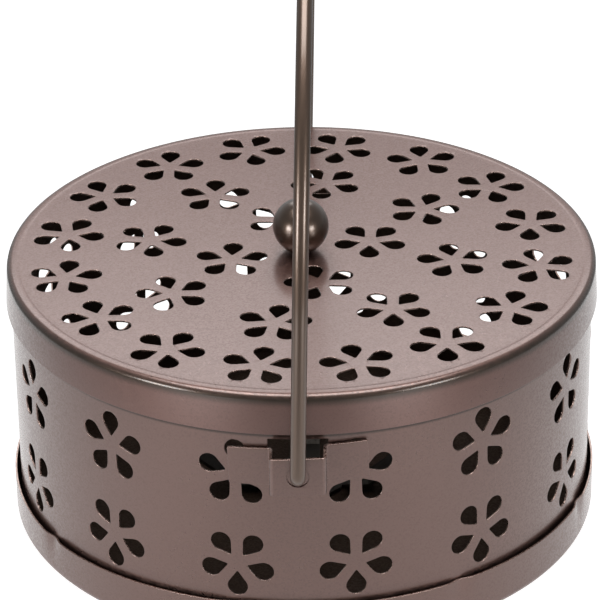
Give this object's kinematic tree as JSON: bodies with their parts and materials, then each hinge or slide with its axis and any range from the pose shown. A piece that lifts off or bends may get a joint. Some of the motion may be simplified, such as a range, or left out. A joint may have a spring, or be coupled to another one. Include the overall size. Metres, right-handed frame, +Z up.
{
  "type": "mosquito coil holder",
  "caption": "Round pierced metal case that burns a mosquito coil, with a dished base tray, a lift-off lid with a ball knob, and a swinging wire carrying handle.",
  "frame": {"origin": "centre of the case at the level of the surface that the tray stands on", "axes": "+Z up; the handle pivots lie along Y, front at -Y; X to the right"},
  "size_m": [0.1504, 0.1688, 0.1746],
  "materials": {
    "bronze_paint": "brown bronze metallic coat with a fine sparkle, semi-gloss",
    "dark_bronze": "darker bronze metallic coat, smooth and semi-gloss",
    "plated_steel": "plain zinc-plated steel"
  },
  "bodies": {
    "case": {"base_tray": "bronze_paint", "case_wall": "bronze_paint", "front_handle_strap": "bronze_paint", "rear_handle_strap": "bronze_paint", "coil_stand": "plated_steel", "coil_stand_rivet": "plated_steel"},
    "lid_body": {"lid": "bronze_paint", "lid_knob": "dark_bronze", "knob_screw": "plated_steel", "knob_washer": "plated_steel"},
    "handle": {"wire_handle": "dark_bronze"}
  },
  "joints": [
    {"name": "lid_lift", "type": "slide", "parent": "case", "child": "lid_body", "axis": [0, 0, 1], "range_m": [0, 0.03]},
    {"name": "handle_swing", "type": "hinge", "parent": "case", "child": "handle", "pos_m": [0, 0, 0.05125], "axis": [0, 1, 0], "range_deg": [-114.6, 112]}
  ]
}
